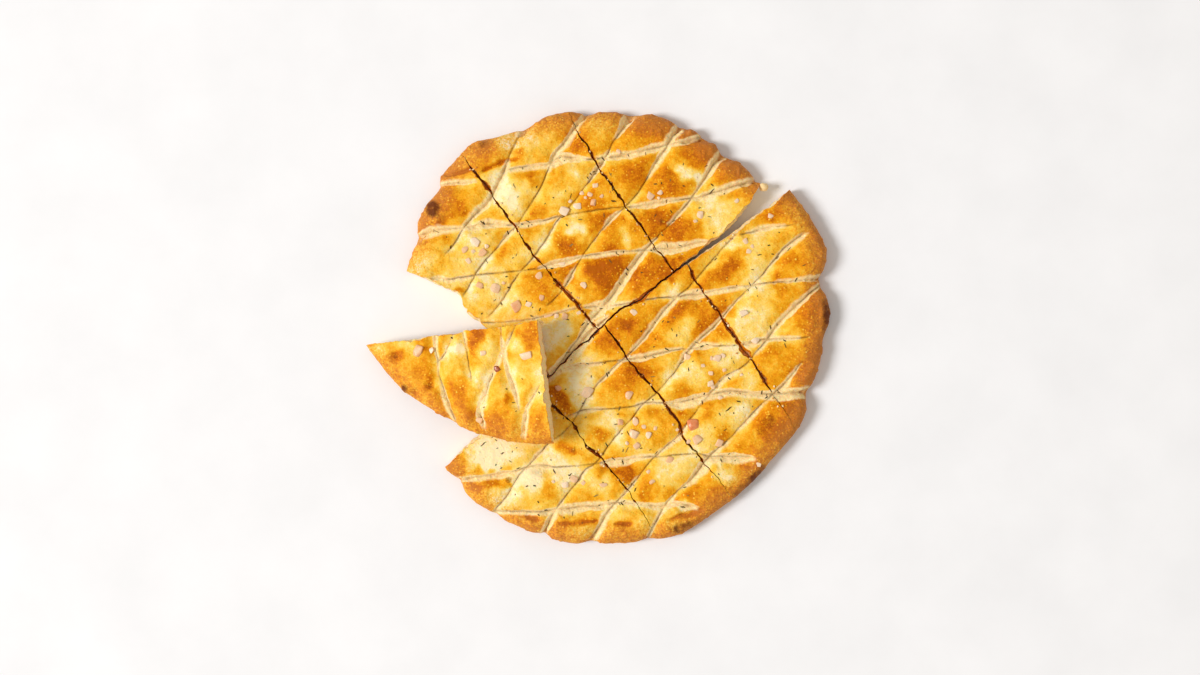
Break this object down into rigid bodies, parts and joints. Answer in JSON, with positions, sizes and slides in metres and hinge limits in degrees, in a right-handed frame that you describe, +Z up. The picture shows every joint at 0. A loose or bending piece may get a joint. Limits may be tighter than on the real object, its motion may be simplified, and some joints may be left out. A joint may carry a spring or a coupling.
{
  "type": "focaccia",
  "caption": "Round flat focaccia with a slashed lattice top, coarse pink salt and herbs, cut into slices, one pulled out and laid over its gap",
  "frame": {"origin": "under the middle of the whole focaccia, on the surface that it lies on", "axes": "+Z up through the thickness, +X and +Y across the bread, with the pulled-out slice towards -X"},
  "size_m": [0.2767, 0.2595, 0.0379],
  "materials": {
    "crust": "golden baked crust, lightly oiled, browned at the rim, with pale crumb in the slashes and cuts",
    "salt": "coarse pink rock salt, translucent",
    "herb": "dried herb flakes, matt"
  },
  "bodies": {
    "root": {"slice_upper_left": "crust", "slice_top": "crust", "slice_upper_right": "crust", "slice_lower_left": "crust", "slice_bottom": "crust", "slice_lower_right": "crust", "slice_right": "crust", "slice_pulled_out": "crust"}
  },
  "joints": []
}
